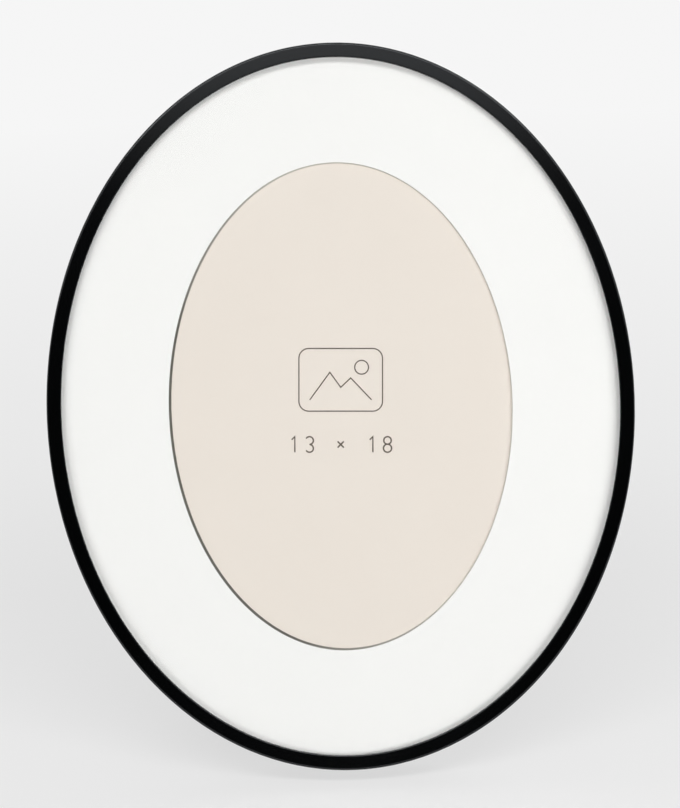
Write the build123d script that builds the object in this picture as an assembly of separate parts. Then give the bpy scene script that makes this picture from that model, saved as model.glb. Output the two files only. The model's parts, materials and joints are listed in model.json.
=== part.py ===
from build123d import *
import math
import os

# An oval picture frame that stands on its rim and on an easel strut. Lengths are in millimetres.
# Every piece is first laid out upright: x to the right, y from the front face to the back, z up,
# with the middle of the oval at x = 0 and z = 0. Right and left are as seen from the front.
# The frame is then leaned back until it stands on the rim's lower back edge and the strut's foot.

# Rim: a thin lip in front, a wall round the layers, and a groove in the wall for the turn buttons
sight_width = 200.0
sight_height = 250.0
face_width = 5.3
face_drop = 0.35
rim_depth = 18.0
rim_wall = 2.5
lip_thickness = 1.4
rim_inner_edge_radius = 0.4
rim_outer_edge_radius = 0.8
rim_back_edge_radius = 0.4
groove_depth = 1.0

# Layers that lie in the rim, from front to back, with a film of air behind the glass
layer_edge_gap = 0.5
glass_thickness = 1.8
glass_air_gap = 0.1
mat_thickness = 1.1
insert_thickness = 0.3
filler_thickness = 1.2
board_thickness = 3.0

# Paper insert, and the oval window in the mat. The window's cut edge slants, and shows widest
# at the lower left, at this share of a full turn from the right.
insert_width = 130.0
insert_height = 180.0
window_side_overlap = 3.35
window_end_overlap = 2.45
bevel_wide = 0.95
bevel_narrow = 0.15
bevel_wide_turn_share = 0.57

# Turn buttons: pear-shaped plates with a pressed rib, each on a rivet in the back board.
# One stands at each side, and the other four this share of a full turn above and below those.
button_turn_share = 0.145
button_thickness = 0.8
button_head_radius = 5.0
button_tip_radius = 2.4
button_pivot_inset = 14.0
button_reach = 0.7
button_gap = 0.15
button_rib_width = 1.6
button_rib_height = 0.5

# Rivets: a domed head behind, a plain shank, and a flat tail sunk into the front
rivet_shank_radius = 1.1
rivet_head_radius = 2.4
rivet_head_height = 0.8
rivet_tail_radius = 1.8
rivet_tail_thickness = 0.5

# Hinge bracket: a plate with two ears that are folded up out of it, and the pin through them
hinge_height_share = 0.55
plate_thickness = 0.8
plate_wing = 9.7
plate_drop = 9.0
plate_margin = 3.0
plate_corner_radius = 3.0
plate_rivet_inset = 4.8
ear_radius = 3.0
ear_gap = 0.3
pin_radius = 1.2
pin_head_radius = 2.0
pin_head_thickness = 0.8

# Strut: a board that widens to its foot, in a pressed socket whose heel stops it when open
open_angle = 24.0
foot_gap = 5.4
strut_thickness = 3.0
strut_top_width = 26.0
strut_top_gap = 2.2
strut_foot_width = 52.0
strut_corner_radius = 6.0
socket_thickness = 0.7
socket_length = 20.0
socket_rivet_spacing = 13.0
knuckle_radius = 2.2
knuckle_gap = 0.3
heel_width = 16.0
heel_corner_radius = 1.5
heel_gap = 0.25

# Hanger: a strap folded round the bar of a D-shaped ring
hanger_inset = 22.8
strap_width = 8.0
strap_length = 10.0
strap_thickness = 0.6
strap_neck = 4.0
strap_corner_radius = 1.5
strap_rivet_inset = 3.2
ring_wire_radius = 0.8
ring_width = 14.0
ring_side = 2.5
ring_corner_radius = 2.5

# Fits, all on the radius, and how far every cut runs past the piece
seat_clearance = 0.02
running_clearance = 0.06
cut_overrun = 2.0

# Sizes across the oval
rim_width = sight_width + 2 * face_width
rim_height = sight_height + 2 * face_width
rebate_width = rim_width - 2 * rim_wall
rebate_height = rim_height - 2 * rim_wall
layer_width = rebate_width - 2 * layer_edge_gap
layer_height = rebate_height - 2 * layer_edge_gap
window_width = insert_width - 2 * window_side_overlap
window_height = insert_height - 2 * window_end_overlap

# Depths from the front face, layer by layer
glass_front = lip_thickness
glass_back = glass_front + glass_thickness
mat_front = glass_back + glass_air_gap
insert_front = mat_front + mat_thickness
filler_front = insert_front + insert_thickness
board_front = filler_front + filler_thickness
board_back = board_front + board_thickness
button_front = board_back + button_gap
button_back = button_front + button_thickness

# The hinge pin's place, and the heel that meets the bracket plate when the strut is open
pin_depth = board_back + plate_thickness + knuckle_gap + knuckle_radius
pin_height = hinge_height_share * rebate_height / 2
socket_width = strut_top_width + 2 * socket_thickness
ear_inner = socket_width / 2 + ear_gap
ear_outer = ear_inner + plate_thickness
open_turn = math.radians(open_angle)
heel_fall = knuckle_radius + knuckle_gap - heel_gap
heel_length = (heel_fall + strut_thickness / 2 * math.cos(open_turn)) / math.sin(open_turn)
heel_tip_height = heel_length * math.cos(open_turn) + strut_thickness / 2 * math.sin(open_turn)

# Where the open strut stands, and how far the frame then leans on the rim's rounded lower edge
strut_reach = pin_height + rebate_height / 2 - foot_gap
foot_depth = pin_depth + strut_reach * math.sin(open_turn)
foot_height = pin_height - strut_reach * math.cos(open_turn)
edge_depth = rim_depth - rim_back_edge_radius
edge_height = rim_back_edge_radius - rim_height / 2
base_run = foot_depth - edge_depth
base_rise = foot_height - edge_height
edge_turn = math.asin(rim_back_edge_radius / math.hypot(base_run, base_rise))
lean_turn = math.atan2(base_rise, base_run) + edge_turn
lean_angle = math.degrees(lean_turn)

# The hanging ring's bar lies in the strap's loop, which rests on the back board
loop_inner_radius = ring_wire_radius + running_clearance
loop_outer_radius = loop_inner_radius + strap_thickness
hanger_depth = board_back + loop_outer_radius
hanger_height = rebate_height / 2 - hanger_inset


def oval(width, height):
    """An ellipse by its full width and height."""
    return Ellipse(width / 2, height / 2)


def layer(outline, front, back):
    """A flat outline, drawn in x and z, given thickness between two depths."""
    return extrude(Plane.XZ.offset(-back) * outline, amount=back - front)


def side_layer(outline, left, right):
    """An outline drawn in y and z, given thickness between two places along x."""
    return extrude(Plane.YZ.offset(left) * outline, amount=right - left)


def through_cut(x, z, radius, front, back):
    """The body of a round hole that runs out of both faces."""
    return layer(Pos(x, z) * Circle(radius), front - cut_overrun, back + cut_overrun)


def rivet(x, z, tail_front, head_seat):
    """A rivet whose sunk tail starts at one depth and whose domed head sits at another."""
    tail_back = tail_front + rivet_tail_thickness
    outline = Polyline(
        (rivet_head_radius, head_seat),
        (rivet_shank_radius, head_seat),
        (rivet_shank_radius, tail_back),
        (rivet_tail_radius, tail_back),
        (rivet_tail_radius, tail_front),
        (0, tail_front),
        (0, head_seat + rivet_head_height),
    )
    dome = TangentArc(
        (0, head_seat + rivet_head_height), (rivet_head_radius, head_seat), tangent=(1, 0)
    )
    return Pos(x, 0, z) * revolve(make_face(outline.edges() + dome.edges()), Axis.Y)


def rivet_seat(x, z, tail_front, back):
    """The hole for a rivet's shank, with the sunk seat for its tail."""
    hole = through_cut(x, z, rivet_shank_radius + seat_clearance, tail_front, back)
    tail_back = tail_front + rivet_tail_thickness
    sunk = Pos(x, z) * Circle(rivet_tail_radius + seat_clearance)
    return hole + layer(sunk, tail_front - cut_overrun, tail_back)


def button_turns():
    """How far round the oval each turn button lies, from the right, as a share of a full turn."""
    return {
        "right": 0,
        "upper_right": button_turn_share,
        "upper_left": 1 / 2 - button_turn_share,
        "left": 1 / 2,
        "lower_left": 1 / 2 + button_turn_share,
        "lower_right": 1 - button_turn_share,
    }


def button_pivot(turn_share):
    """A turn button's pivot, and the way from it to the nearest part of the rim, in degrees."""
    turn = 2 * math.pi * turn_share
    half_width = rebate_width / 2
    half_height = rebate_height / 2
    out_x = half_height * math.cos(turn)
    out_z = half_width * math.sin(turn)
    out_length = math.hypot(out_x, out_z)
    x = half_width * math.cos(turn) - button_pivot_inset * out_x / out_length
    z = half_height * math.sin(turn) - button_pivot_inset * out_z / out_length
    return x, z, math.degrees(math.atan2(out_z, out_x))


def button_places():
    return [button_pivot(turn_share)[:2] for turn_share in button_turns().values()]


def plate_rivet_places():
    """The four rivets of the hinge bracket, two on each wing."""
    x = ear_outer + plate_wing - plate_rivet_inset
    heights = (
        pin_height - plate_drop + plate_rivet_inset,
        pin_height + heel_tip_height + plate_margin - plate_rivet_inset,
    )
    return [(side * x, z) for side in (-1, 1) for z in heights]


def strap_rivet_place():
    return 0, hanger_height - strap_length + strap_rivet_inset


def make_frame_ring():
    outer = oval(rim_width, rim_height)
    sight = oval(sight_width, sight_height)
    front_face = loft(
        [Plane.XZ.offset(-face_drop) * outer, Plane.XZ * sight],
        ruled=True,
    )
    ring = layer(outer, face_drop, rim_depth) + front_face
    ring -= layer(sight, -cut_overrun, rim_depth)
    ring -= layer(oval(rebate_width, rebate_height), lip_thickness, rim_depth + cut_overrun)
    groove = oval(rebate_width + 2 * groove_depth, rebate_height + 2 * groove_depth)
    ring -= layer(groove, button_front - button_gap, button_back + button_gap)
    fronts = ring.edges().group_by(Axis.Y)
    ring = fillet(fronts[0], rim_inner_edge_radius)
    shoulder = [
        edge
        for edge in ring.edges().filter_by(GeomType.ELLIPSE)
        if edge.bounding_box().max.X > rebate_width / 2 + rim_wall / 2
    ]
    shoulder.sort(key=lambda edge: edge.center().Y)
    ring = fillet(shoulder[0], rim_outer_edge_radius)
    backs = ring.edges().group_by(Axis.Y)[-1].sort_by(SortBy.LENGTH)
    return fillet(backs[-1], rim_back_edge_radius)


def make_glass_pane():
    return layer(oval(layer_width, layer_height), glass_front, glass_back)


def make_mat_board():
    board = layer(oval(layer_width, layer_height), mat_front, insert_front)
    shift = (bevel_wide - bevel_narrow) / 2
    wide_turn = 2 * math.pi * bevel_wide_turn_share
    narrowing = bevel_wide + bevel_narrow
    back_window = oval(window_width - narrowing, window_height - narrowing)
    back_window = Pos(-shift * math.cos(wide_turn), -shift * math.sin(wide_turn)) * back_window
    window = loft(
        [
            Plane.XZ.offset(-insert_front) * back_window,
            Plane.XZ.offset(-mat_front) * oval(window_width, window_height),
        ],
        ruled=True,
    )
    return board - window


def make_photo_insert():
    sheet = Rectangle(insert_width, insert_height) & oval(layer_width, layer_height)
    return layer(sheet, insert_front, filler_front)


def make_filler_card():
    return layer(oval(layer_width, layer_height), filler_front, board_front)


def make_back_board():
    board = layer(oval(layer_width, layer_height), board_front, board_back)
    places = button_places() + plate_rivet_places()
    places.append(strap_rivet_place())
    for x, z in places:
        board -= rivet_seat(x, z, board_front, board_back)
    return board


def make_turn_button(turn_share):
    """A pear-shaped plate that points from its pivot towards the rim."""
    x, z, pointing = button_pivot(turn_share)
    tip_centre = button_pivot_inset + button_reach - button_tip_radius
    head = Circle(button_head_radius)
    tip = Pos(tip_centre, 0) * Circle(button_tip_radius)
    plate = layer(make_hull(head.edges() + tip.edges()), button_front, button_back)
    rib_start = rivet_head_radius + button_rib_width
    rib_end = button_pivot_inset - button_tip_radius
    rib = SlotCenterToCenter(rib_end - rib_start, button_rib_width)
    rib = Pos((rib_start + rib_end) / 2, 0) * rib
    plate += layer(rib, button_back, button_back + button_rib_height)
    plate -= through_cut(0, 0, rivet_shank_radius + running_clearance, button_front, button_back)
    return Pos(x, 0, z) * Rot(Y=-pointing) * plate


def make_button_rivets():
    seat = button_back + button_gap
    return Compound(children=[rivet(x, z, board_front, seat) for x, z in button_places()])


def make_hinge_bracket():
    bottom = pin_height - plate_drop
    top = pin_height + heel_tip_height + plate_margin
    plate_back = board_back + plate_thickness
    outline = RectangleRounded(2 * (ear_outer + plate_wing), top - bottom, plate_corner_radius)
    bracket = layer(Pos(0, (top + bottom) / 2) * outline, board_back, plate_back)
    ear_height = pin_depth - board_back
    ear = Pos(board_back + ear_height / 2, pin_height) * Rectangle(ear_height, 2 * ear_radius)
    ear += Pos(pin_depth, pin_height) * Circle(ear_radius)
    hole = Pos(pin_depth, pin_height) * Circle(pin_radius + seat_clearance)
    window_length = ear_height + ear_radius - plate_thickness
    for side in (-1, 1):
        window_middle = side * (ear_inner - window_length / 2)
        window = Pos(window_middle, pin_height) * Rectangle(window_length, 2 * ear_radius)
        bracket -= layer(window, board_back - cut_overrun, plate_back + cut_overrun)
        inner, outer = sorted((side * ear_inner, side * ear_outer))
        bracket += side_layer(ear - hole, inner, outer)
    for x, z in plate_rivet_places():
        bracket -= through_cut(x, z, rivet_shank_radius + seat_clearance, board_back, plate_back)
    return bracket


def make_bracket_rivets():
    seat = board_back + plate_thickness
    return Compound(children=[rivet(x, z, board_front, seat) for x, z in plate_rivet_places()])


def make_hinge_pin():
    pin = side_layer(Circle(pin_radius), -ear_outer, ear_outer)
    pin += side_layer(Circle(pin_head_radius), ear_outer, ear_outer + pin_head_thickness)
    pin += side_layer(Circle(pin_head_radius), -ear_outer - pin_head_thickness, -ear_outer)
    return Pos(0, pin_depth, pin_height) * pin


def socket_rivet_places():
    """The strut's two rivets, measured from the pin."""
    z = -(strut_top_gap + socket_length) / 2
    return [(side * socket_rivet_spacing / 2, z) for side in (-1, 1)]


def open_strut(piece):
    """Put a piece that is laid out round the pin, hanging straight down, at the open angle."""
    return Pos(0, pin_depth, pin_height) * Rot(X=open_angle) * piece


def make_strut_socket():
    web_front = strut_thickness / 2
    web_back = web_front + socket_thickness
    web_middle = (knuckle_radius - socket_length) / 2
    web = Pos(0, web_middle) * Rectangle(socket_width, knuckle_radius + socket_length)
    heel = Pos(0, heel_length / 2) * Rectangle(heel_width, heel_length)
    heel = fillet(heel.vertices().group_by(Axis.Y)[-1], heel_corner_radius)
    socket = layer(web + heel, web_front, web_back)
    cheek_depth = web_front + web_back
    cheek = Pos(cheek_depth / 2 - web_front, -socket_length / 2)
    cheek = cheek * Rectangle(cheek_depth, socket_length) + Circle(knuckle_radius)
    cheek -= Circle(pin_radius + running_clearance)
    for side in (-1, 1):
        inner, outer = sorted((side * strut_top_width / 2, side * socket_width / 2))
        socket += side_layer(cheek, inner, outer)
    for x, z in socket_rivet_places():
        socket -= through_cut(x, z, rivet_shank_radius + seat_clearance, web_front, web_back)
    return open_strut(socket)


def make_strut_leg():
    """The strut board, cut level at the foot so that it stands flat."""
    half_thickness = strut_thickness / 2
    level_turn = open_turn - lean_turn
    bottom = -strut_reach - half_thickness * abs(math.tan(level_turn))
    sides = Polyline(
        (strut_top_width / 2, -strut_top_gap),
        (strut_top_width / 2, -socket_length),
        (strut_foot_width / 2, bottom),
        (-strut_foot_width / 2, bottom),
        (-strut_top_width / 2, -socket_length),
        (-strut_top_width / 2, -strut_top_gap),
        close=True,
    )
    outline = make_face(sides)
    outline = fillet(outline.vertices().group_by(Axis.Y)[0], strut_corner_radius)
    leg = layer(outline, -half_thickness, half_thickness)
    for x, z in socket_rivet_places():
        leg -= rivet_seat(x, z, -half_thickness, half_thickness)
    floor = Box(
        strut_foot_width + 2 * cut_overrun,
        strut_thickness + 2 * cut_overrun,
        2 * cut_overrun,
        align=(Align.CENTER, Align.CENTER, Align.MAX),
    )
    leg -= Pos(0, 0, -strut_reach) * Rot(X=lean_angle - open_angle) * floor
    return open_strut(leg)


def make_strut_rivets():
    half_thickness = strut_thickness / 2
    seat = half_thickness + socket_thickness
    rivets = [rivet(x, z, -half_thickness, seat) for x, z in socket_rivet_places()]
    return open_strut(Compound(children=rivets))


def make_hanger_strap():
    """Two layers pressed together, folded round the ring's bar."""
    folded = 2 * strap_thickness
    side = Circle(loop_outer_radius)
    tail = Polyline(
        (-loop_outer_radius, 0),
        (-loop_outer_radius, -strap_length),
        (folded - loop_outer_radius, -strap_length),
        (folded - loop_outer_radius, -strap_neck),
        (loop_outer_radius, 0),
        close=True,
    )
    side += make_face(tail)
    side -= Circle(loop_inner_radius)
    strap = side_layer(side, -strap_width / 2, strap_width / 2)
    end_corners = strap.edges().filter_by(Axis.Y).group_by(Axis.Z)[0]
    strap = Pos(0, hanger_depth, hanger_height) * fillet(end_corners, strap_corner_radius)
    x, z = strap_rivet_place()
    hole_radius = rivet_shank_radius + seat_clearance
    return strap - through_cut(x, z, hole_radius, board_back, board_back + folded)


def make_hanger_rivet():
    x, z = strap_rivet_place()
    return rivet(x, z, board_front, board_back + 2 * strap_thickness)


def make_hanger_ring():
    """A wire bent to a D: a straight bar, two short sides and a half-round bottom, hung plumb."""
    half = ring_width / 2
    corner = ring_corner_radius
    side_end = -corner - ring_side
    wire_line = Wire(
        [
            Line((corner - half, 0), (half - corner, 0)),
            TangentArc((half - corner, 0), (half, -corner), tangent=(1, 0)),
            Line((half, -corner), (half, side_end)),
            ThreePointArc((half, side_end), (0, side_end - half), (-half, side_end)),
            Line((-half, side_end), (-half, -corner)),
            TangentArc((-half, -corner), (corner - half, 0), tangent=(0, 1)),
        ]
    )
    path = Plane.XZ * wire_line
    section = Plane(origin=path @ 0, z_dir=path % 0) * Circle(ring_wire_radius)
    ring = sweep(section, path=path)
    return Pos(0, hanger_depth, hanger_height) * Rot(X=lean_angle) * ring


pieces = {
    "frame_ring": make_frame_ring(),
    "glass_pane": make_glass_pane(),
    "mat_board": make_mat_board(),
    "photo_insert": make_photo_insert(),
    "filler_card": make_filler_card(),
    "back_board": make_back_board(),
    "button_rivets": make_button_rivets(),
    "hinge_bracket": make_hinge_bracket(),
    "bracket_rivets": make_bracket_rivets(),
    "hinge_pin": make_hinge_pin(),
    "strut_socket": make_strut_socket(),
    "strut_leg": make_strut_leg(),
    "strut_rivets": make_strut_rivets(),
    "hanger_strap": make_hanger_strap(),
    "hanger_rivet": make_hanger_rivet(),
    "hanger_ring": make_hanger_ring(),
}
for place, turn_share in button_turns().items():
    pieces["turn_button_" + place] = make_turn_button(turn_share)

# Lean everything back, set it on the ground and centre its box on the origin
leaned = Rot(X=-lean_angle)
rim_foot = edge_height * math.cos(lean_turn) - edge_depth * math.sin(lean_turn)
boxes = [(leaned * piece).bounding_box() for piece in pieces.values()]
nearest = min(box.min.Y for box in boxes)
furthest = max(box.max.Y for box in boxes)
standing = Pos(0, -(nearest + furthest) / 2, rim_back_edge_radius - rim_foot) * leaned

os.makedirs("parts", exist_ok=True)
for name, piece in pieces.items():
    export_step(standing * piece, "parts/" + name + ".step")
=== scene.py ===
import json
import math

import bmesh
import bpy
from mathutils import Matrix, Vector


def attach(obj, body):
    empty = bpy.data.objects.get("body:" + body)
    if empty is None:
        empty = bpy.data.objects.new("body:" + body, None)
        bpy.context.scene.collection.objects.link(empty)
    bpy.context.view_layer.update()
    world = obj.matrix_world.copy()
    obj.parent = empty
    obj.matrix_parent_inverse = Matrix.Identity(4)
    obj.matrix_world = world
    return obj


# Dresses the oval picture frame: a finish for every piece, a small picture sign printed on the
# insert, a pale floor, soft lamps, and a camera square to the leaning face. All in metres.

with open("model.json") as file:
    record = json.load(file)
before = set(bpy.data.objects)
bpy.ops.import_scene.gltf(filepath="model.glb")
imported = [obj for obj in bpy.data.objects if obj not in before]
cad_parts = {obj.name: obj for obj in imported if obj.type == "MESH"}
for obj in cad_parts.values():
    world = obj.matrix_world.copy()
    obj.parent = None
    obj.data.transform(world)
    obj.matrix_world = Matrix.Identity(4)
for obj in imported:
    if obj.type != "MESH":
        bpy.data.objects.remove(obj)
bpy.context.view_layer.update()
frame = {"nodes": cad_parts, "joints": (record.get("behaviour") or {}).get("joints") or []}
nodes = frame["nodes"]


# The leaning face: which way is back, right and up, and where the oval's middle lies

def joint_named(name):
    return next(joint for joint in frame["joints"] if joint["name"] == name)


def reach_along(node, direction):
    """The lowest and highest place of a node's points along a direction."""
    places = [vertex.co.dot(direction) for vertex in nodes[node].data.vertices]
    return min(places), max(places)


back = Vector(joint_named("turn_right")["axis"]).normalized()
right = Vector((1, 0, 0))
up = right.cross(back)

rim_left, rim_right = reach_along("frame_ring", right)
rim_width = rim_right - rim_left
face_depth = reach_along("frame_ring", back)[0]
insert_depth = reach_along("photo_insert", back)[0]
oval_middle = sum(reach_along("glass_pane", up)) / 2


def face_point(x, z, depth):
    """A point by its place on the oval, from the middle, and its depth along the back direction."""
    return right * x + up * (oval_middle + z) + back * depth


def add_object(name, data):
    made = bpy.data.objects.new(name, data)
    bpy.context.scene.collection.objects.link(made)
    return made


def add_sheet(name, corners):
    """A flat sheet with four corners."""
    data = bpy.data.meshes.new(name)
    data.from_pydata(corners, [], [(0, 1, 2, 3)])
    return add_object(name, data)


# Camera: square to the face, with the rim as wide and as central as in the photograph, where the
# oval stands turned a little to the left

picture_width_px = 680
picture_height_px = 808
rim_width_px = 588.9
rim_middle_px = (340.7, 406.3)
oval_turn = math.radians(1.9)
camera_distance = 1.1
camera_clip = 0.055
sensor_width_mm = 36


def make_camera():
    metres_per_px = rim_width / rim_width_px
    level_right = right * math.cos(oval_turn) - up * math.sin(oval_turn)
    level_up = up * math.cos(oval_turn) + right * math.sin(oval_turn)
    shift_right = (picture_width_px / 2 - rim_middle_px[0]) * metres_per_px
    shift_up = (rim_middle_px[1] - picture_height_px / 2) * metres_per_px
    view_height = picture_height_px * metres_per_px
    data = bpy.data.cameras.new("camera")
    data.sensor_width = sensor_width_mm
    data.lens = sensor_width_mm * camera_distance / view_height
    data.clip_start = camera_clip
    camera = add_object("camera", data)
    turn = Matrix((level_right, level_up, -back)).transposed().to_4x4()
    place = face_point(0, 0, face_depth - camera_distance)
    place += level_right * shift_right + level_up * shift_up
    camera.matrix_world = Matrix.Translation(place) @ turn
    bpy.context.scene.camera = camera


# Lamps: soft ones above, behind and on both sides. Each is placed by its turns from the way that
# the face looks, in degrees, and by its distance from the face's middle, where it aims. The side
# lamps hang just clear of the floor, and don't show in gloss or glass.

lamps = {
    "lamp_top": {"power": 8.4, "width": 1.6, "height": 0.3, "side": 0, "rise": 34, "distance": 1.3},
    "lamp_back": {"power": 8.6, "width": 1.6, "height": 1.2, "side": 150, "rise": 38, "distance": 1.5},
    "lamp_left": {"power": 4.8, "width": 0.9, "height": 0.44, "side": -38, "rise": -10, "distance": 1.3},
    "lamp_right": {"power": 8.3, "width": 0.9, "height": 0.44, "side": 38, "rise": -10, "distance": 1.3},
}
unseen_lamps = ("lamp_left", "lamp_right")


def make_lamp(name, power, width, height, side, rise, distance):
    side_turn = math.radians(side)
    rise_turn = math.radians(rise)
    level = right * math.sin(side_turn) - back * math.cos(side_turn)
    way = level * math.cos(rise_turn) + up * math.sin(rise_turn)
    data = bpy.data.lights.new(name, "AREA")
    data.shape = "RECTANGLE"
    data.size = width
    data.size_y = height
    data.energy = power
    lamp = add_object(name, data)
    lamp.location = face_point(0, 0, face_depth) + way * distance
    lamp.rotation_euler = (-way).to_track_quat("-Z", "Y").to_euler()
    lamp.visible_glossy = name not in unseen_lamps
    lamp.visible_transmission = name not in unseen_lamps


def make_lamps():
    for name, settings in lamps.items():
        make_lamp(name, **settings)


# Shader helpers

white = (1, 1, 1, 1)
bevel_samples = 4


class Tree:
    """A node tree, with short ways to add nodes and to feed their sockets."""

    def __init__(self, tree):
        self.tree = tree

    def node(self, kind, inputs=None, **settings):
        made = self.tree.nodes.new(kind)
        for name, value in settings.items():
            setattr(made, name, value)
        for name, value in (inputs or {}).items():
            self.feed(made.inputs[name], value)
        return made

    def feed(self, socket, value):
        if isinstance(value, bpy.types.NodeSocket):
            self.tree.links.new(value, socket)
        else:
            socket.default_value = value

    def math(self, operation, first, second=0.0, clamp=False):
        inputs = {0: first, 1: second}
        return self.node("ShaderNodeMath", inputs, operation=operation, use_clamp=clamp).outputs[0]

    def vector_math(self, operation, first, second, result="Vector"):
        inputs = {0: first, 1: second}
        return self.node("ShaderNodeVectorMath", inputs, operation=operation).outputs[result]

    def dot(self, first, second):
        return self.vector_math("DOT_PRODUCT", first, second, "Value")

    def distance(self, first, second):
        return self.vector_math("DISTANCE", first, second, "Value")

    def spread(self, value, low, high, to_low=0.0, to_high=1.0):
        """Moves a value from one range to another, kept within it."""
        inputs = {"Value": value, "From Min": low, "From Max": high, "To Min": to_low, "To Max": to_high}
        return self.node("ShaderNodeMapRange", inputs, clamp=True).outputs["Result"]

    def between(self, share, at_zero, at_one):
        """A value between two others, by a share from 0 to 1."""
        return self.spread(share, 0.0, 1.0, at_zero, at_one)

    def blend_colours(self, share, at_zero, at_one):
        inputs = {"Factor": share, 6: at_zero, 7: at_one}
        return self.node("ShaderNodeMix", inputs, data_type="RGBA").outputs[2]

    def noise(self, place, scale, detail=3.0, roughness=0.55):
        inputs = {"Vector": place, "Scale": scale, "Detail": detail, "Roughness": roughness}
        return self.node("ShaderNodeTexNoise", inputs).outputs["Fac"]

    def object_place(self):
        return self.node("ShaderNodeTexCoord").outputs["Object"]

    def stretched(self, place, scales):
        """A place with a scale of its own along x, y and z."""
        return self.node("ShaderNodeMapping", {"Vector": place, "Scale": scales}).outputs["Vector"]

    def rounded_normal(self, radius):
        """The normal as if every edge were softly rounded."""
        return self.node("ShaderNodeBevel", {"Radius": radius}, samples=bevel_samples).outputs["Normal"]

    def bumped(self, height, distance, strength, under=None):
        """A normal from a height, over another normal if one is given."""
        bump = self.node("ShaderNodeBump", {"Height": height, "Distance": distance, "Strength": strength})
        if under is not None:
            self.feed(bump.inputs["Normal"], under)
        return bump.outputs["Normal"]

    def placed_group(self, group, values):
        return self.node("ShaderNodeGroup", values, node_tree=group).outputs

    def mix_shaders(self, share, at_zero, at_one):
        return self.node("ShaderNodeMixShader", {0: share, 1: at_zero.outputs[0], 2: at_one.outputs[0]})

    def show(self, shader):
        """Puts a shader on the material's output."""
        self.feed(self.tree.nodes["Material Output"].inputs["Surface"], shader.outputs[0])


def new_material(name):
    """A material, its tree and its Principled shader."""
    material = bpy.data.materials.new(name)
    material.use_nodes = True
    tree = Tree(material.node_tree)
    return material, tree, material.node_tree.nodes["Principled BSDF"]


def make_group(name, inputs, outputs):
    """A node group with named float, colour or vector sockets: the group, its tree, and its sockets."""
    group = bpy.data.node_groups.new(name, "ShaderNodeTree")
    kinds = {"float": "NodeSocketFloat", "colour": "NodeSocketColor", "vector": "NodeSocketVector"}
    for socket_name, kind in inputs.items():
        group.interface.new_socket(socket_name, in_out="INPUT", socket_type=kinds[kind])
    for socket_name, kind in outputs.items():
        group.interface.new_socket(socket_name, in_out="OUTPUT", socket_type=kinds[kind])
    tree = Tree(group)
    given = tree.node("NodeGroupInput").outputs
    results = tree.node("NodeGroupOutput").inputs
    return group, tree, given, results


def seen_as_background(tree):
    """One for what the camera sees, straight or in gloss and glass, and zero for other rays."""
    path = tree.node("ShaderNodeLightPath").outputs
    straight_or_gloss = tree.math("MAXIMUM", path["Is Camera Ray"], path["Is Glossy Ray"])
    return tree.math("MAXIMUM", straight_or_gloss, path["Is Transmission Ray"])


# Room: near white where it is seen, and dim where it lights the object. A black card round the
# camera, which only reflections and glass see, keeps the room out of the glass and the rim's sides.

room_light = 0.15
backdrop_tone = 0.92
card_distance = 1.5
card_half_width = 2.4
card_low = -0.9
card_high = 0.7
card_black_top = 0.34
card_black_bottom = -0.6
card_fade = 0.12
card_slant = 0.05


def make_world():
    world = bpy.data.worlds.new("room")
    bpy.context.scene.world = world
    world.use_nodes = True
    tree = Tree(world.node_tree)
    background = world.node_tree.nodes["Background"].inputs
    tree.feed(background["Color"], white)
    tree.feed(background["Strength"], tree.between(seen_as_background(tree), room_light, backdrop_tone))


def make_black_card():
    """The card pales into the backdrop's tone at its top, a little lower at the right, and at its
    bottom."""
    middle = face_point(0, 0, face_depth - card_distance)
    corners = [
        (-card_half_width, card_low),
        (card_half_width, card_low),
        (card_half_width, card_high),
        (-card_half_width, card_high),
    ]
    card = add_sheet("black_card", [middle + right * x + up * z for x, z in corners])
    card.visible_camera = False
    card.visible_diffuse = False
    card.visible_shadow = False
    material, tree, _ = new_material("black_card")
    place = tree.vector_math("SUBTRACT", tree.object_place(), tuple(middle))
    rise = tree.dot(place, tuple(up + right * card_slant))
    above = tree.spread(rise, card_black_top, card_black_top + card_fade)
    below = tree.spread(rise, card_black_bottom, card_black_bottom - card_fade)
    shade = tree.math("MULTIPLY", tree.math("MAXIMUM", above, below), backdrop_tone)
    tree.show(tree.node("ShaderNodeEmission", {"Color": white, "Strength": shade}))
    card.data.materials.append(material)


# Floor: pale where it is seen, with the frame's shadow, and further away the backdrop's tone. It is
# darker for the light that it throws back up at the frame.

floor_half_size = 12.0
floor_seen = (0.86, 0.86, 0.86, 1)
floor_thrown_back = (0.3, 0.3, 0.3, 1)
floor_glow_near = 0.2
floor_glow_far = 1.0
floor_near_glow_share = 0.68


def make_floor():
    half = floor_half_size
    floor = add_sheet("floor", [(-half, -half, 0), (half, -half, 0), (half, half, 0), (-half, half, 0)])
    material, tree, shader = new_material("floor")
    lighting = tree.node("ShaderNodeLightPath").outputs["Is Diffuse Ray"]
    tree.feed(shader.inputs["Base Color"], tree.blend_colours(lighting, floor_seen, floor_thrown_back))
    shader.inputs["Roughness"].default_value = 0.9
    shader.inputs["Specular IOR Level"].default_value = 0.1
    glow = tree.node("ShaderNodeEmission", {"Color": white, "Strength": backdrop_tone})
    distance = tree.distance(tree.object_place(), (0, 0, 0))
    share = tree.spread(distance, floor_glow_near, floor_glow_far, floor_near_glow_share, 1.0)
    glowing = tree.math("MULTIPLY", seen_as_background(tree), share)
    tree.show(tree.mix_shaders(glowing, shader, glow))
    floor.data.materials.append(material)


# Effects that the finishes share, as node groups. The scales of noise are in cells per metre.

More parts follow.
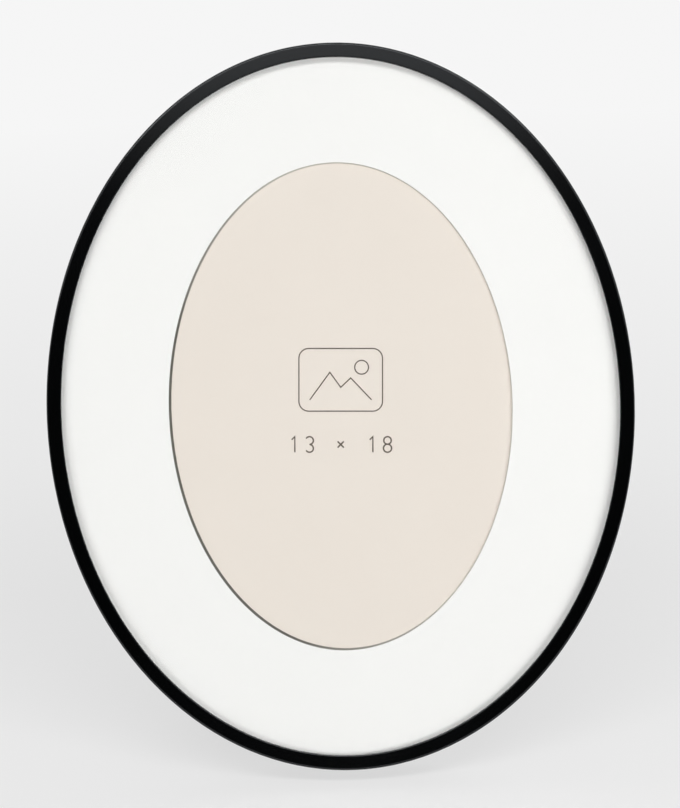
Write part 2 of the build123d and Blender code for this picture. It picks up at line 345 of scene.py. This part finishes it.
def make_grain_group():
    """Fine and broad unevenness: a height for bump, a roughness, and a tone from 0 to 1."""
    group, tree, given, results = make_group(
        "surface_grain",
        {"Grain Scale": "float", "Cloud Scale": "float", "Roughness": "float", "Roughness Spread": "float"},
        {"Height": "float", "Roughness": "float", "Tone": "float"},
    )
    place = tree.object_place()
    fine = tree.noise(place, given["Grain Scale"], detail=4.0, roughness=0.6)
    broad = tree.noise(place, given["Cloud Scale"], detail=2.0)
    swing = tree.math("SUBTRACT", tree.math("ADD", fine, broad), 1.0)
    change = tree.math("MULTIPLY", swing, given["Roughness Spread"])
    tree.feed(results["Height"], fine)
    tree.feed(results["Roughness"], tree.math("ADD", given["Roughness"], change, clamp=True))
    tree.feed(results["Tone"], broad)
    return group


def make_wear_group():
    """Where an edge is rubbed: the rounded normal leaves the flat one there, broken up by noise."""
    group, tree, given, results = make_group(
        "edge_wear",
        {"Rounded Normal": "vector", "Patch Scale": "float", "Amount": "float"},
        {"Mask": "float"},
    )
    flat = tree.node("ShaderNodeNewGeometry").outputs["Normal"]
    turned = tree.math("SUBTRACT", 1.0, tree.dot(given["Rounded Normal"], flat))
    edge = tree.spread(turned, low=0.02, high=0.2)
    patches = tree.noise(tree.object_place(), given["Patch Scale"], detail=5.0, roughness=0.7)
    broken = tree.math("MULTIPLY", edge, tree.spread(patches, low=0.42, high=0.6))
    tree.feed(results["Mask"], tree.math("MULTIPLY", broken, given["Amount"], clamp=True))
    return group


grain_group = make_grain_group()
wear_group = make_wear_group()


# Rim: satin black lacquer, with a faint orange peel and softly rounded edges

lacquer_dark = (0.0006, 0.0007, 0.0008, 1)
lacquer_light = (0.0014, 0.0016, 0.0018, 1)
lacquer_worn = (0.05, 0.05, 0.05, 1)
lacquer_gloss_tint = (0.92, 0.96, 1.0, 1)


def make_black_lacquer():
    material, tree, shader = new_material("black_lacquer")
    grain = tree.placed_group(
        grain_group,
        {"Grain Scale": 1500.0, "Cloud Scale": 30.0, "Roughness": 0.15, "Roughness Spread": 0.04},
    )
    rounded = tree.rounded_normal(radius=0.0002)
    wear = tree.placed_group(wear_group, {"Rounded Normal": rounded, "Patch Scale": 90.0, "Amount": 0.12})
    tone = tree.blend_colours(grain["Tone"], lacquer_dark, lacquer_light)
    tree.feed(shader.inputs["Base Color"], tree.blend_colours(wear["Mask"], tone, lacquer_worn))
    tree.feed(shader.inputs["Roughness"], grain["Roughness"])
    peel = tree.bumped(grain["Height"], distance=0.00001, strength=0.6, under=rounded)
    tree.feed(shader.inputs["Normal"], peel)
    shader.inputs["IOR"].default_value = 1.5
    shader.inputs["Specular Tint"].default_value = lacquer_gloss_tint
    return material


# Glass: a clear pane that lets lamp light through to what lies behind it

glass_tint = (0.985, 0.995, 0.99, 1)


def make_clear_glass():
    material, tree, shader = new_material("clear_glass")
    shader.inputs["Base Color"].default_value = glass_tint
    shader.inputs["Transmission Weight"].default_value = 1.0
    shader.inputs["IOR"].default_value = 1.5
    smears = tree.noise(tree.object_place(), scale=18.0)
    tree.feed(shader.inputs["Roughness"], tree.spread(smears, low=0.45, high=0.75, to_high=0.02))
    path = tree.node("ShaderNodeLightPath").outputs
    lighting = tree.math("MAXIMUM", path["Is Shadow Ray"], path["Is Diffuse Ray"])
    clear = tree.node("ShaderNodeBsdfTransparent")
    tree.show(tree.mix_shaders(lighting, shader, clear))
    return material


# Mat: white card with a fine paper tooth. The cut edge of its window is grey, and painted shade
# makes it darker towards the lower left. The window is measured on the mat's front face, where the
# points within a share of the rim's half width are the window's, and the others the outer edge's.

mat_dark = (0.945, 0.937, 0.924, 1)
mat_light = (0.962, 0.954, 0.938, 1)
# The cut edge's own grey, and the darker painted shade that it is blended to at the lower left
cut_edge_grey = (0.72, 0.7, 0.65, 1)
cut_edge_painted_shade = (0.15, 0.143, 0.125, 1)
window_reach_share = 0.94
window_edge_share = 0.9995
lower_left = (-0.9, -0.43)
same_depth = 0.00002


def window_half_sizes():
    """The window's half width and half height at the mat's front face."""
    front = reach_along("mat_board", back)[0]
    points = [vertex.co for vertex in nodes["mat_board"].data.vertices]
    points = [point for point in points if point.dot(back) - front < same_depth]
    places = [(point.dot(right), point.dot(up) - oval_middle) for point in points]
    edge = [place for place in places if math.hypot(*place) < window_reach_share * rim_width / 2]
    return max(abs(x) for x, z in edge), max(abs(z) for x, z in edge)


def make_window_group():
    """How far a point lies from the window's middle, as a share of the window, and how much it lies
    to the lower left."""
    group, tree, given, results = make_group(
        "window_place",
        {"Half Width": "float", "Half Height": "float"},
        {"Share": "float", "Lower Left": "float"},
    )
    place = tree.object_place()
    across = tree.math("DIVIDE", tree.dot(place, tuple(right)), given["Half Width"])
    along = tree.math("SUBTRACT", tree.dot(place, tuple(up)), oval_middle)
    along = tree.math("DIVIDE", along, given["Half Height"])
    squares = tree.math("ADD", tree.math("MULTIPLY", across, across), tree.math("MULTIPLY", along, along))
    share = tree.math("SQRT", squares)
    side_across = tree.math("MULTIPLY", across, lower_left[0])
    side_along = tree.math("MULTIPLY", along, lower_left[1])
    side = tree.math("ADD", side_across, side_along)
    tree.feed(results["Share"], share)
    tree.feed(results["Lower Left"], tree.math("DIVIDE", side, share))
    return group


def make_mat_card():
    material, tree, shader = new_material("white_mat_board")
    grain = tree.placed_group(
        grain_group,
        {"Grain Scale": 1900.0, "Cloud Scale": 22.0, "Roughness": 0.88, "Roughness Spread": 0.06},
    )
    half_width, half_height = window_half_sizes()
    window = tree.placed_group(make_window_group(), {"Half Width": half_width, "Half Height": half_height})
    face = tree.blend_colours(grain["Tone"], mat_dark, mat_light)
    # Painted shade: the cut edge darkens towards the lower left, standing in for shade on its bevel
    side = tree.spread(window["Lower Left"], low=-0.3, high=0.7)
    cut_edge_with_painted_shade = tree.blend_colours(side, cut_edge_grey, cut_edge_painted_shade)
    inside = tree.math("LESS_THAN", window["Share"], window_edge_share)
    tree.feed(shader.inputs["Base Color"], tree.blend_colours(inside, face, cut_edge_with_painted_shade))
    tree.feed(shader.inputs["Roughness"], grain["Roughness"])
    tree.feed(shader.inputs["Normal"], tree.bumped(grain["Height"], distance=0.00002, strength=0.5))
    shader.inputs["Specular IOR Level"].default_value = 0.1
    return material


# Insert, filler card and printed ink: uncoated, with faint clouding and a fine tooth

cream_light = (0.864, 0.793, 0.724, 1)
cream_dark = (0.844, 0.77, 0.7, 1)
filler_light = (0.42, 0.4, 0.36, 1)
filler_dark = (0.33, 0.31, 0.28, 1)
ink_light = (0.17, 0.14, 0.11, 1)
ink_dark = (0.13, 0.105, 0.085, 1)


def make_paper(name, light, dark, roughness):
    material, tree, shader = new_material(name)
    grain = tree.placed_group(
        grain_group,
        {"Grain Scale": 2400.0, "Cloud Scale": 35.0, "Roughness": roughness, "Roughness Spread": 0.08},
    )
    tree.feed(shader.inputs["Base Color"], tree.blend_colours(grain["Tone"], dark, light))
    tree.feed(shader.inputs["Roughness"], grain["Roughness"])
    tree.feed(shader.inputs["Normal"], tree.bumped(grain["Height"], distance=0.000015, strength=0.5))
    shader.inputs["Specular IOR Level"].default_value = 0.1
    return material


# Back board and strut: pressed board with a black paper face, embossed like leather, on both sides,
# and bare brown edges. The back board is rubbed in a ring round each turn button's pivot, under the
# button's narrow end.

paper_hollows = (0.006, 0.006, 0.0065, 1)
paper_tops = (0.02, 0.02, 0.021, 1)
paper_scuffed = (0.11, 0.108, 0.105, 1)
core_light = (0.24, 0.15, 0.085, 1)
core_dark = (0.13, 0.075, 0.038, 1)
corner_worn = (0.2, 0.13, 0.08, 1)
leather_scale = 760.0
leather_wander = 0.0012
leather_edge = 0.22
leather_height = 0.85
fibre_height = 0.15
scuff_roughness = 0.2
scratch_scales = (260.0, 20.0, 14.0)
rub_inner = 0.0105
rub_outer = 0.0148
rub_strength = 0.85


def make_board_group():
    """The board's colour, roughness and height. Its face is paler on the tops of the grain, and where
    it is scuffed or rubbed."""
    group, tree, given, results = make_group(
        "faced_board",
        {"Face Direction": "vector", "Grain Scale": "float", "Rubbed": "float"},
        {"Colour": "colour", "Roughness": "float", "Height": "float"},
    )
    coordinates = tree.node("ShaderNodeTexCoord").outputs
    place = coordinates["Object"]
    facing = tree.math("ABSOLUTE", tree.dot(coordinates["Normal"], given["Face Direction"]))
    face = tree.spread(facing, low=0.8, high=0.9)

    wander = tree.node("ShaderNodeTexNoise", {"Vector": place, "Scale": 420.0, "Detail": 2.0})
    shift = tree.vector_math("MULTIPLY", wander.outputs["Color"], (leather_wander,) * 3)
    bent = tree.vector_math("ADD", place, shift)
    cells = tree.node(
        "ShaderNodeTexVoronoi", {"Vector": bent, "Scale": given["Grain Scale"]}, feature="DISTANCE_TO_EDGE"
    ).outputs["Distance"]
    pebble = tree.spread(cells, 0.0, leather_edge)
    fibres = tree.noise(place, scale=2600.0, detail=4.0, roughness=0.7)

    clouds = tree.spread(tree.noise(place, scale=26.0), low=0.4, high=0.75, to_high=0.25)
    scratches = tree.noise(tree.stretched(place, scratch_scales), scale=3.0, detail=5.0, roughness=0.75)
    scratches = tree.spread(scratches, low=0.66, high=0.74, to_high=0.3)
    scuffed = tree.math("ADD", tree.math("ADD", clouds, scratches), given["Rubbed"])
    on_tops = tree.between(pebble, at_zero=0.3, at_one=1.0)
    scuffed = tree.math("MULTIPLY", scuffed, on_tops, clamp=True)

    black = tree.blend_colours(pebble, paper_hollows, paper_tops)
    paper = tree.blend_colours(scuffed, black, paper_scuffed)
    core = tree.blend_colours(tree.spread(fibres, low=0.35, high=0.65), core_light, core_dark)
    tree.feed(results["Colour"], tree.blend_colours(face, core, paper))

    duller = tree.math("MULTIPLY", scuffed, scuff_roughness)
    paper_roughness = tree.math("ADD", tree.between(pebble, at_zero=0.75, at_one=0.42), duller)
    face_part = tree.math("MULTIPLY", face, paper_roughness)
    core_part = tree.between(face, at_zero=0.92, at_one=0.0)
    tree.feed(results["Roughness"], tree.math("ADD", face_part, core_part, clamp=True))
    pebble_part = tree.math("MULTIPLY", pebble, leather_height)
    fibre_part = tree.math("MULTIPLY", fibres, fibre_height)
    tree.feed(results["Height"], tree.math("ADD", pebble_part, fibre_part))
    return group


def make_rub_group():
    """Where a turn button's narrow end rubs the board: a broken ring round the pivot."""
    group, tree, given, results = make_group(
        "button_rub", {"Pivot": "vector", "Inner": "float", "Outer": "float"}, {"Mask": "float"}
    )
    place = tree.object_place()
    past_inner = tree.math("SUBTRACT", tree.distance(place, given["Pivot"]), given["Inner"])
    share = tree.math("DIVIDE", past_inner, tree.math("SUBTRACT", given["Outer"], given["Inner"]))
    fade_in = tree.spread(share, low=0.0, high=0.3)
    fade_out = tree.spread(share, low=1.0, high=0.85)
    ring = tree.math("MULTIPLY", fade_in, fade_out)
    patches = tree.noise(place, scale=330.0, detail=5.0, roughness=0.7)
    tree.feed(results["Mask"], tree.math("MULTIPLY", ring, tree.spread(patches, low=0.4, high=0.62)))
    return group


board_group = make_board_group()
rub_group = make_rub_group()


def make_faced_board(name, direction, pivots=()):
    material, tree, shader = new_material(name)
    rubbed = 0.0
    for pivot in pivots:
        ring = tree.placed_group(rub_group, {"Pivot": pivot, "Inner": rub_inner, "Outer": rub_outer})
        rubbed = tree.math("MAXIMUM", rubbed, tree.math("MULTIPLY", ring["Mask"], rub_strength))
    board = tree.placed_group(
        board_group, {"Face Direction": tuple(direction), "Grain Scale": leather_scale, "Rubbed": rubbed}
    )
    rounded = tree.rounded_normal(radius=0.0003)
    wear = tree.placed_group(wear_group, {"Rounded Normal": rounded, "Patch Scale": 160.0, "Amount": 0.7})
    tree.feed(shader.inputs["Base Color"], tree.blend_colours(wear["Mask"], board["Colour"], corner_worn))
    tree.feed(shader.inputs["Roughness"], board["Roughness"])
    leather = tree.bumped(board["Height"], distance=0.00012, strength=0.8, under=rounded)
    tree.feed(shader.inputs["Normal"], leather)
    return material


# Metal pieces: zinc plating on the pressed ones, and a brighter one on rivets, pin and ring

zinc_bright = (0.56, 0.56, 0.57, 1)
zinc_dull = (0.31, 0.31, 0.315, 1)
steel_bright = (0.68, 0.67, 0.66, 1)
steel_dull = (0.5, 0.49, 0.47, 1)
plating_worn = (0.8, 0.8, 0.79, 1)
streak_scales = (60.0, 900.0, 900.0)
crystal_dulling = 0.4
patch_dulling = 0.6
patch_roughness = 0.16
streak_roughness = 0.1
crystal_height = 0.2


def make_plating_group():
    """Zinc plating: small crystals, faint rolling streaks, and a few dull patches."""
    group, tree, given, results = make_group(
        "zinc_plating",
        {"Crystal Scale": "float", "Bright": "colour", "Dull": "colour", "Roughness": "float"},
        {"Colour": "colour", "Roughness": "float", "Height": "float"},
    )
    place = tree.object_place()
    crystals = tree.node("ShaderNodeTexVoronoi", {"Vector": place, "Scale": given["Crystal Scale"]})
    shade = tree.node("ShaderNodeSeparateColor", {"Color": crystals.outputs["Color"]}).outputs["Red"]
    streaks = tree.noise(tree.stretched(place, streak_scales), scale=3.0)
    patches = tree.spread(tree.noise(place, scale=140.0, detail=4.0), low=0.5, high=0.68)

    dull_crystals = tree.math("MULTIPLY", shade, crystal_dulling)
    dull_patches = tree.math("MULTIPLY", patches, patch_dulling)
    dullness = tree.math("ADD", dull_crystals, dull_patches)
    tree.feed(results["Colour"], tree.blend_colours(dullness, given["Bright"], given["Dull"]))

    rough_patches = tree.math("MULTIPLY", patches, patch_roughness)
    rough_streaks = tree.math("MULTIPLY", streaks, streak_roughness)
    rougher = tree.math("ADD", rough_patches, rough_streaks)
    tree.feed(results["Roughness"], tree.math("ADD", given["Roughness"], rougher, clamp=True))
    tree.feed(results["Height"], tree.math("ADD", streaks, tree.math("MULTIPLY", shade, crystal_height)))
    return group


plating_group = make_plating_group()


def make_plated_steel(name, bright, dull, roughness, crystal_scale):
    material, tree, shader = new_material(name)
    plating = tree.placed_group(
        plating_group,
        {"Crystal Scale": crystal_scale, "Bright": bright, "Dull": dull, "Roughness": roughness},
    )
    rounded = tree.rounded_normal(radius=0.00015)
    wear = tree.placed_group(wear_group, {"Rounded Normal": rounded, "Patch Scale": 300.0, "Amount": 0.6})
    tree.feed(shader.inputs["Base Color"], tree.blend_colours(wear["Mask"], plating["Colour"], plating_worn))
    tree.feed(shader.inputs["Roughness"], plating["Roughness"])
    grain = tree.bumped(plating["Height"], distance=0.00001, strength=0.5, under=rounded)
    tree.feed(shader.inputs["Normal"], grain)
    shader.inputs["Metallic"].default_value = 1.0
    return material


# Which piece has which finish. The strut's foot is what lies within foot_band of the floor.

pressed_pieces = ("hinge_bracket", "strut_socket", "hanger_strap")
foot_band = 0.0005


def strut_direction():
    """The way that the strut's broad faces look: square to the way from its hinge to its foot."""
    pin = Vector(joint_named("strut_fold")["pos_m"])
    points = [vertex.co for vertex in nodes["strut_leg"].data.vertices]
    foot_points = [point for point in points if point.z < foot_band]
    down = sum(foot_points, Vector()) / len(foot_points) - pin
    down.x = 0
    return right.cross(down.normalized()).normalized()


def finish_nodes():
    pivots = [tuple(joint["pos_m"]) for joint in frame["joints"] if joint["name"].startswith("turn_")]
    finishes = {
        "frame_ring": make_black_lacquer(),
        "glass_pane": make_clear_glass(),
        "mat_board": make_mat_card(),
        "photo_insert": make_paper("cream_paper", cream_light, cream_dark, roughness=0.8),
        "filler_card": make_paper("grey_card", filler_light, filler_dark, roughness=0.9),
        "back_board": make_faced_board("hardboard", back, pivots),
        "strut_leg": make_faced_board("strut_board", strut_direction()),
    }
    zinc = make_plated_steel("zinc_plate", zinc_bright, zinc_dull, roughness=0.33, crystal_scale=420.0)
    steel = make_plated_steel("bright_steel", steel_bright, steel_dull, roughness=0.2, crystal_scale=900.0)
    for node in nodes:
        if node.startswith("turn_button") or node in pressed_pieces:
            finishes[node] = zinc
        elif node.endswith(("rivet", "rivets", "pin")) or node == "hanger_ring":
            finishes[node] = steel
    for node, material in finishes.items():
        data = nodes[node].data
        data.materials.clear()
        data.materials.append(material)


# The small sign printed on the insert, in thin lines: hills and a sun in a rounded box, and under
# it the size of the print in centimetres. It is turned against the oval, to lie level in the view.

sign_line = 0.00045
digit_line = 0.00055
sign_lift = 0.00003
box_width = 0.030
box_height = 0.0225
box_corner = 0.0035
box_rise = 0.0095
hill_shares = ((-0.37, -0.32), (-0.13, 0.12), (0.0, -0.12), (0.12, 0.03), (0.37, -0.32))
sun_shares = (0.25, 0.2)
sun_radius_share = 0.11
sun_points = 36
box_corner_points = 9
size_text = "13 x 18"
digit_height = 0.0056
digit_step = 0.0056
digits_rise = -0.0137
digit_arc_points = 15
digit_circle_points = 24


def arc_points(middle, radius, start, end, count):
    """Points along an arc, by angles in degrees."""
    turns = [math.radians(start + (end - start) * step / (count - 1)) for step in range(count)]
    return [(middle[0] + radius * math.cos(turn), middle[1] + radius * math.sin(turn)) for turn in turns]


def circle_points(middle, radius, count):
    """Points round a whole circle, the first only once."""
    return arc_points(middle, radius, 0, 360 - 360 / count, count)


def rounded_box_points():
    half_width = box_width / 2 - box_corner
    half_height = box_height / 2 - box_corner
    points = []
    for quarter, (side, level) in enumerate(((1, 1), (-1, 1), (-1, -1), (1, -1))):
        middle = (side * half_width, box_rise + level * half_height)
        start = quarter * 90
        points += arc_points(middle, box_corner, start, start + 90, box_corner_points)
    return points


# The lines of a digit or of the times sign, one unit high about its middle, and which are closed

glyph_shares = {
    "1": [([(-0.14, 0.3), (0.06, 0.5), (0.06, -0.5)], False)],
    "3": [
        (arc_points((0, 0.25), 0.25, 150, -90, digit_arc_points), False),
        (arc_points((0, -0.25), 0.25, 90, -150, digit_arc_points), False),
    ],
    "8": [
        (circle_points((0, 0.26), 0.24, digit_circle_points), True),
        (circle_points((0, -0.24), 0.26, digit_circle_points), True),
    ],
    "x": [([(-0.2, -0.2), (0.2, 0.2)], False), ([(-0.2, 0.2), (0.2, -0.2)], False)],
}


def sign_point(x, z):
    """A point of the sign, level in the view, just in front of the insert's face."""
    level_x = x * math.cos(oval_turn) + z * math.sin(oval_turn)
    level_z = z * math.cos(oval_turn) - x * math.sin(oval_turn)
    return face_point(level_x, level_z, insert_depth - sign_lift)


def add_line(mesh, points, width, closed=False):
    """Adds a flat ribbon along points of the sign."""
    count = len(points)
    rows = []
    for index, (x, z) in enumerate(points):
        before = points[index - 1] if closed or index > 0 else points[index]
        after = points[(index + 1) % count] if closed or index < count - 1 else points[index]
        first = Vector((x - before[0], z - before[1]))
        second = Vector((after[0] - x, after[1] - z))
        first = first.normalized() if first.length else second.normalized()
        second = second.normalized() if second.length else first
        along = (first + second).normalized()
        widen = 1 / max(along.dot(first), 0.5)
        across = Vector((-along.y, along.x)) * (width / 2 * widen)
        sides = [(x + side * across.x, z + side * across.y) for side in (1, -1)]
        rows.append([mesh.verts.new(sign_point(*place)) for place in sides])
    for index in range(count if closed else count - 1):
        here = rows[index]
        there = rows[(index + 1) % count]
        mesh.faces.new((here[0], here[1], there[1], there[0]))


def add_size(mesh):
    """Adds the lines of the size under the box."""
    for index, glyph in enumerate(size_text):
        x = (index - (len(size_text) - 1) / 2) * digit_step
        for points, closed in glyph_shares.get(glyph, []):
            placed = [(x + u * digit_height, digits_rise + v * digit_height) for u, v in points]
            add_line(mesh, placed, digit_line, closed)


def make_picture_sign():
    mesh = bmesh.new()
    add_line(mesh, rounded_box_points(), sign_line, closed=True)
    hills = [(across * box_width, box_rise + along * box_height) for across, along in hill_shares]
    add_line(mesh, hills, sign_line)
    sun = (sun_shares[0] * box_width, box_rise + sun_shares[1] * box_height)
    sun_rim = circle_points(sun, sun_radius_share * box_height, sun_points)
    add_line(mesh, sun_rim, sign_line, closed=True)
    add_size(mesh)
    bmesh.ops.recalc_face_normals(mesh, faces=mesh.faces)
    data = bpy.data.meshes.new("insert_print")
    mesh.to_mesh(data)
    mesh.free()
    sign = add_object("insert_print", data)
    data.materials.append(make_paper("print_ink", ink_light, ink_dark, roughness=0.6))
    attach(sign, "frame")


make_camera()
make_world()
make_lamps()
make_black_card()
make_floor()
finish_nodes()
make_picture_sign()
bpy.context.scene.view_settings.view_transform = "Standard"
